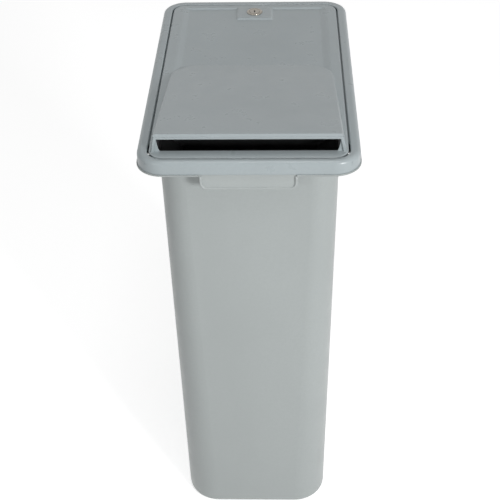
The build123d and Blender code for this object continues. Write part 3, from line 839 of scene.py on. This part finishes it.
class PAPERBIN_OT_lid_panel(bpy.types.Operator):
    """Builds the lid panel with its recess, lock boss and slotted hood"""

    bl_idname = "paper_bin.lid_panel"
    bl_label = "Lid panel"

    def execute(self, context):
        moulded_part("lid_moulding", "lid", "lid_grey", "lid_panel", self.cuts(), self.soften)
        for side, name in ((-1, "left"), (1, "right")):
            self.slot_cheek(side, "slot_cheek_" + name)
        return {"FINISHED"}

    # Recess outline and front lip, in metres
    side = 119.3 * MM
    rear = 226.8 * MM
    boss_side = 26.5 * MM
    boss_front = 186.8 * MM
    floor = 732.0 * MM
    top = LID_TOP
    lip_back = -228.5 * MM
    lip_front = -240.3 * MM
    lip_fall = 3.2 * MM
    side_blend = 13.0 * MM
    wall_blend = 4.6 * MM
    blend_start = -60.0 * MM

    def cuts(self):
        """Where the recess floor and the front lip are cut finer, so that they can be curved."""

        def on_floor(face):
            flat = all(abs(vert.co.z - self.floor) < 0.02 * MM for vert in face.verts)
            return flat and face.calc_center_median().y > self.blend_start

        def on_lip(face):
            middle = face.calc_center_median()
            return middle.y < self.lip_back + 6.0 * MM and middle.z > 726.0 * MM

        across, along = Vector((1.0, 0.0, 0.0)), Vector((0.0, 1.0, 0.0))
        lip = self.lip_front - self.lip_back
        lines = []
        for step in range(11):
            share = step / 10
            by_side = self.side - self.side_blend * share
            by_boss = self.boss_side + self.wall_blend * share
            for sign in (-1, 1):
                lines.append((on_floor, across * sign * by_side, across))
                lines.append((on_floor, across * sign * by_boss, across))
            for start in (self.rear, self.boss_front):
                lines.append((on_floor, along * (start - self.wall_blend * share), along))
            lines.append((on_lip, along * (self.lip_back + lip * share), along))
        for step in range(5):
            lines.append((on_floor, along * (self.blend_start + 3.0 * step * MM), along))
        return lines

    def soften(self, place):
        """Rounds the front lip down and eases the recess floor up into its walls."""
        x, y, z = place
        if y < self.lip_back:
            share = min(1.0, (self.lip_back - y) / (self.lip_back - self.lip_front))
            fall = self.lip_fall * (1.0 - math.sqrt(max(0.0, 1.0 - 0.9 * share * share)))
            held = min(1.0, max(0.0, (z - 727.0 * MM) / (4.5 * MM)))
            return Vector((x, y, z - fall * held))
        beyond = abs(x) > self.side + 1.3 * MM or y > self.rear + 1.3 * MM or y < self.blend_start
        if beyond or z < 729.5 * MM or z >= self.top:
            return place.copy()
        by_side = ease(1.0 - (self.side - abs(x)) / self.side_blend)
        by_rear = ease(1.0 - (self.rear - y) / self.wall_blend)
        past = math.hypot(max(0.0, abs(x) - self.boss_side), max(0.0, self.boss_front - y))
        by_boss = ease(1.0 - past / self.wall_blend)
        rise = 1.0 - (1.0 - 0.95 * by_side) * (1.0 - 0.95 * by_rear) * (1.0 - 0.95 * by_boss)
        starts = ease((y - self.blend_start) / (12.0 * MM))
        if z >= self.floor:
            share = (self.top - z) / (self.top - self.floor)
        else:
            share = max(0.0, (z - 729.5 * MM) / (self.floor - 729.5 * MM))
        return Vector((x, y, z + (self.top - self.floor) * rise * starts * share))

    def slot_cheek(self, side, name):
        """Small web that narrows the slot towards each lower corner."""
        # Each point is (distance from the middle, level), in millimetres
        outline = [(127.6, 734.0), (123.1, 754.6), (122.3, 747.0), (121.6, 742.0)]
        outline += [(120.7, 738.4), (119.4, 735.6), (118.9, 734.0)]
        rings = []
        for level in (-224.9 * MM, -223.5 * MM):
            rings.append([(side * x * MM, level, z * MM) for x, z in outline])
        settle(bridged_piece(name, rings), "lid", "lid_grey")


class PAPERBIN_OT_chute(bpy.types.Operator):
    """Builds the paper chute under the hood"""

    bl_idname = "paper_bin.chute"
    bl_label = "Paper chute"

    def execute(self, context):
        moulded_part("chute_moulding", "lid", "chute_black", "slot_chute")
        return {"FINISHED"}


class PAPERBIN_OT_hinge(bpy.types.Operator):
    """Builds the two hinge dowels, each with a domed end"""

    bl_idname = "paper_bin.hinge"
    bl_label = "Hinge dowels"

    def execute(self, context):
        for side in ("left", "right"):
            node = "hinge_pin_" + side
            low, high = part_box(node)
            middle = (low + high) / 2
            radius, half = (high.z - low.z) / 2, (high.x - low.x) / 2
            edge = 0.4 * MM
            dish = 0.1 * MM

            def place(across, along, height, middle=middle):
                return (middle.x + height, middle.y + across, middle.z + along)

            profile = [(0.0, -half + dish), (radius * 0.5, -half)]
            profile += arc((radius - edge, -half + edge), edge, -90, 0, 4)
            profile += arc((radius - edge, half - edge), edge, 0, 90, 4)
            profile += [(radius * 0.5, half), (0.0, half - dish)]
            piece = turned_part("hinge_dowel_" + side, profile, 40, place)
            settle(piece, "lid", "steel", node)
        return {"FINISHED"}


class PAPERBIN_OT_strike(bpy.types.Operator):
    """Builds the bent strike that the cam passes under"""

    bl_idname = "paper_bin.strike"
    bl_label = "Strike"

    def execute(self, context):
        width = context.scene.paper_bin_sizes.metal_round
        softened_part("strike_angle", "bin", "steel", width, "strike_plate")
        return {"FINISHED"}


def at_lock(across, along, height):
    """Place at a distance from the lock's axis."""
    return (LOCK_CENTRE.x + across, LOCK_CENTRE.y + along, height)


class PAPERBIN_OT_lock(bpy.types.Operator):
    """Builds the cam lock: barrel, washer, nut, plug, stop washer and cam"""

    bl_idname = "paper_bin.lock"
    bl_label = "Cam lock"

    def execute(self, context):
        sizes = context.scene.paper_bin_sizes
        settle(self.barrel(sizes.thread_pitch), "lid", "nickel", "lock_barrel")
        settle(self.nut(), "lid", "nickel", "lock_nut")
        settle(self.washer(), "lid", "steel", "lock_washer")
        for name, slot, node in (
            ("lock_plug_face", "nickel", "lock_plug"),
            ("cam_washer", "steel", "cam_stop_washer"),
            ("lock_cam_arm", "steel", "lock_cam"),
        ):
            softened_part(name, "lock_core", slot, sizes.metal_round, node)
        return {"FINISHED"}

    def barrel(self, pitch):
        """Rounded bezel, stepped bore and a threaded body with two flats."""
        head = 13.0 * MM
        bore = 6.55 * MM
        seat = 8.25 * MM
        body = 9.5 * MM
        flat = 8.0 * MM
        under = LID_TOP
        top = LOCK_FACE
        step_down = top - 1.5 * MM
        crown = 0.75 * MM
        profile = [(seat, step_down), (seat, top - 1.0 * MM), (seat + 0.3 * MM, top - 0.7 * MM)]
        for step in range(9):
            share = step / 8
            radius = seat + 0.5 * MM + (head - seat - 0.7 * MM) * share
            height = top - crown + crown * math.sin(math.pi * min(1.0, share + 0.12))
            profile.append((radius, height))
        profile += [(head, under + 0.6 * MM), (head, under + 0.1 * MM)]
        profile += [(head - 0.1 * MM, under), (body, under)]
        depth = 0.45 * MM
        height = under - 3.2 * MM
        edge = 0.4 * MM
        while height > LOCK_BOTTOM + 1.5 * pitch:
            profile += [(body, height), (body - depth, height - pitch / 2)]
            height -= pitch
        profile += [(body, height), (body, LOCK_BOTTOM + edge), (body - edge, LOCK_BOTTOM)]
        profile += [(bore, LOCK_BOTTOM), (bore, step_down), (seat, step_down)]

        def place(across, along, height):
            if height < under and abs(across) > flat:
                across = math.copysign(flat, across)
            return at_lock(across, along, height)

        return turned_part("lock_bezel", profile, 96, place, 30.0)

    def nut(self):
        """Hexagon nut with its corners turned off."""
        low, high = NUT_LOW.z, NUT_HIGH.z
        packed = NUT_HIGH - NUT_LOW
        turn = 0.0 if packed.x > packed.y else math.pi / 6
        apothem = 12.0 * MM
        bore = 9.6 * MM
        edge = 0.3 * MM
        chamfer = 0.6 * MM
        # A radius of 1 or 2 stands for the chamfered or the full hexagon
        profile = [(bore, low + edge), (bore + edge, low), (1.0, low)]
        profile += [(2.0, low + chamfer), (2.0, high - chamfer), (1.0, high)]
        profile += [(bore + edge, high), (bore, high - edge), (bore, low + edge)]

        def place(across, along, height):
            radius = math.hypot(across, along)
            angle = math.atan2(along, across)
            if radius > 0.5:
                sector = (angle - turn) % (math.pi / 3) - math.pi / 6
                reach = apothem / math.cos(sector)
                if radius < 1.5:
                    reach = min(reach, apothem + 0.35 * MM)
                across = reach * math.cos(angle)
                along = reach * math.sin(angle)
            return at_lock(across, along, height)

        return turned_part("lock_hex_nut", profile, 96, place, 25.0)

    def washer(self):
        """Flat washer with broken edges."""
        low, high = WASHER_LOW.z, WASHER_HIGH.z
        outer = (WASHER_HIGH.x - WASHER_LOW.x) / 2
        bore = 9.6 * MM
        edge = 0.15 * MM
        profile = [(bore, low + edge), (bore + edge, low), (outer - edge, low)]
        profile += [(outer, low + edge), (outer, high - edge), (outer - edge, high)]
        profile += [(bore + edge, high), (bore, high - edge), (bore, low + edge)]

        return turned_part("lock_flat_washer", profile, 72, at_lock, 25.0)


class PAPERBIN_OT_screws(bpy.types.Operator):
    """Sets the frame, strike, chute and cam screws"""

    bl_idname = "paper_bin.screws"
    bl_label = "Screws"

    def execute(self, context):
        sizes = context.scene.paper_bin_sizes
        shared = {
            "Head Radius": sizes.head_radius,
            "Head Height": sizes.head_height,
            "Shank Radius": sizes.shank_radius,
        }
        side_face = 138.0 * MM
        rear_face = 239.5 * MM
        frame_level = 719.5 * MM
        outwards, upwards = Vector((0.0, 1.0, 0.0)), Vector((0.0, 0.0, 1.0))
        frame_seats, strike_seats, chute_seats = [], [], []
        for side in (-1, 1):
            for row in (-150.0 * MM, 0.0, 150.0 * MM):
                seat = ((side * side_face, row, frame_level), (side, 0.0, 0.0))
                frame_seats.append(seat)
            frame_seats.append(((side * 80.0 * MM, rear_face, frame_level), outwards))
            strike = (side * 14.0 * MM, rear_face - 2.0 * MM, 723.5 * MM)
            strike_seats.append((strike, outwards))
            chute_seats.append(((side * 95.0 * MM, -153.0 * MM, 732.0 * MM), upwards))
            chute_seats.append(((side * 95.0 * MM, -229.5 * MM, 722.5 * MM), upwards))
        cam_seats = [((LOCK_CENTRE.x, LOCK_CENTRE.y, CAM_BOTTOM), upwards)]
        for name, body, seats, length, seed in (
            ("frame", "bin", frame_seats, 9.3, 3),
            ("strike", "bin", strike_seats, 8.3, 5),
            ("chute", "lid", chute_seats, 8.5, 8),
            ("cam", "lock_core", cam_seats, 7.0, 2),
        ):
            few = len(seats) == 1
            label = name + ("_pan_screw" if few else "_pan_screws")
            node = name + ("_screw" if few else "_screws")
            own = {"Shank Length": length * MM, "Seed": seed}
            screw_set(label, body, node, seats, shared | own)
        return {"FINISHED"}


class PAPERBIN_OT_stage(bpy.types.Operator):
    """Sets the floor, the light and the camera"""

    bl_idname = "paper_bin.stage"
    bl_label = "Stage"

    def execute(self, context):
        settings = context.scene.paper_bin_stage
        context.scene.view_settings.view_transform = "Standard"
        self.floor()
        self.world(settings.fill_level)
        self.lamp("key_light", 36.0, 17.0, 2.8, 0.6, settings.key_level)
        self.lamp("side_light", -36.0, 17.0, 2.8, 0.6, settings.side_level)
        self.lamp("top_light", 4.0, 70.0, 2.4, 0.8, settings.top_level)
        self.camera(context, settings)
        return {"FINISHED"}

    def floor(self):
        """Pale floor that looks white to the camera and keeps the bin's shadow."""
        half = 9.0
        mesh = bpy.data.meshes.new("studio_floor")
        corners = [(-half, -half, 0.0), (half, -half, 0.0), (half, half, 0.0), (-half, half, 0.0)]
        mesh.from_pydata(corners, [], [(0, 1, 2, 3)])
        floor = new_piece("studio_floor", mesh)
        material, tree, shader, place = new_material("floor_white")
        speckle = noise(tree, place, 40.0, 3.0, 0.5)
        tone = blend_colours(tree, speckle, [0.8, 0.8, 0.8, 1.0], [0.82, 0.82, 0.82, 1.0])
        tree.links.new(tone, shader.inputs["Base Color"])
        shader.inputs["Roughness"].default_value = 0.9
        shader.inputs["Specular IOR Level"].default_value = 0.0
        shader.inputs["Emission Color"].default_value = (1.0, 1.0, 1.0, 1.0)
        seen = self.seen_rays(tree)
        tree.links.new(math_node(tree, "MULTIPLY", seen, 0.66), shader.inputs["Emission Strength"])
        mesh.materials.append(material)

    def seen_rays(self, tree):
        """1 for camera, glossy and transmission rays, and 0 for the rest."""
        path = add_node(tree, "ShaderNodeLightPath")
        camera, glossy = path.outputs["Is Camera Ray"], path.outputs["Is Glossy Ray"]
        either = math_node(tree, "MAXIMUM", camera, glossy)
        return math_node(tree, "MAXIMUM", either, path.outputs["Is Transmission Ray"])

    def world(self, fill_level):
        """White surroundings to look at, with a weaker fill on the object."""
        world = bpy.data.worlds.new("studio_white")
        bpy.context.scene.world = world
        world.use_nodes = True
        tree = world.node_tree
        tree.nodes.clear()
        sources = {0: self.seen_rays(tree)}
        for index, strength in ((1, fill_level), (2, 1.0)):
            glow = {"Color": (1.0, 1.0, 1.0, 1.0), "Strength": strength}
            sources[index] = add_node(tree, "ShaderNodeBackground", glow).outputs[0]
        mixed = add_node(tree, "ShaderNodeMixShader", sources)
        add_node(tree, "ShaderNodeOutputWorld", {"Surface": mixed.outputs[0]})

    def lamp(self, name, azimuth, elevation, distance, size, level):
        """Soft square lamp aimed at the bin's upper front; level 1 lights a facing wall fully."""
        target = Vector((0.0, -0.1, 0.5))
        around, above = math.radians(azimuth), math.radians(elevation)
        level_part = math.cos(above)
        sideways, forwards = math.sin(around) * level_part, math.cos(around) * level_part
        direction = Vector((sideways, -forwards, math.sin(above)))
        light = bpy.data.lights.new(name, "AREA")
        light.shape = "SQUARE"
        light.size = size
        light.energy = level * math.pi**2 * distance**2
        turn = direction.to_track_quat("Z", "Y").to_matrix().to_4x4()
        lamp = new_piece(name, light)
        lamp.matrix_world = Matrix.Translation(target + direction * distance) @ turn

    def camera(self, context, settings):
        """Camera at the photograph's viewpoint."""
        lens = bpy.data.cameras.new("photo_camera")
        lens.lens = settings.camera_lens
        lens.sensor_width = 36.0
        lens.sensor_fit = "HORIZONTAL"
        lens.clip_end = 50.0
        camera = new_piece("photo_camera", lens)
        pan, tilt, roll = settings.camera_turn
        aimed = Matrix.Rotation(pan, 4, "Z") @ Matrix.Rotation(tilt, 4, "X")
        turn = aimed @ Matrix.Rotation(roll, 4, "Z")
        camera.matrix_world = Matrix.Translation(Vector(settings.camera_place)) @ turn
        context.scene.camera = camera


OPERATORS = (
    PAPERBIN_OT_tub,
    PAPERBIN_OT_lid_frame,
    PAPERBIN_OT_lid_panel,
    PAPERBIN_OT_chute,
    PAPERBIN_OT_hinge,
    PAPERBIN_OT_strike,
    PAPERBIN_OT_lock,
    PAPERBIN_OT_screws,
    PAPERBIN_OT_stage,
)


class PAPERBIN_PT_sidebar(bpy.types.Panel):
    """Lists the bin's pieces and their settings"""

    bl_idname = "PAPERBIN_PT_sidebar"
    bl_label = "Paper Bin"
    bl_space_type = "VIEW_3D"
    bl_region_type = "UI"
    bl_category = "Paper Bin"

    def draw(self, context):
        layout = self.layout
        for settings in (
            context.scene.paper_bin_colours,
            context.scene.paper_bin_sizes,
            context.scene.paper_bin_stage,
        ):
            box = layout.box()
            for key in settings.__annotations__:
                box.prop(settings, key)
        for operator in OPERATORS:
            layout.operator(operator.bl_idname)


SETTINGS = {
    "paper_bin_colours": PaperBinColours,
    "paper_bin_sizes": PaperBinSizes,
    "paper_bin_stage": PaperBinStage,
}


def register():
    for group in SETTINGS.values():
        bpy.utils.register_class(group)
    for operator in OPERATORS:
        bpy.utils.register_class(operator)
    bpy.utils.register_class(PAPERBIN_PT_sidebar)
    for name, group in SETTINGS.items():
        setattr(bpy.types.Scene, name, bpy.props.PointerProperty(type=group))


def unregister():
    for name in SETTINGS:
        delattr(bpy.types.Scene, name)
    bpy.utils.unregister_class(PAPERBIN_PT_sidebar)
    for operator in reversed(OPERATORS):
        bpy.utils.unregister_class(operator)
    for group in SETTINGS.values():
        bpy.utils.unregister_class(group)


def main():
    register()
    bpy.ops.paper_bin.tub()
    bpy.ops.paper_bin.lid_frame()
    bpy.ops.paper_bin.lid_panel()
    bpy.ops.paper_bin.chute()
    bpy.ops.paper_bin.hinge()
    bpy.ops.paper_bin.strike()
    bpy.ops.paper_bin.lock()
    bpy.ops.paper_bin.screws()
    bpy.ops.paper_bin.stage()


if __name__ == "__main__":
    main()
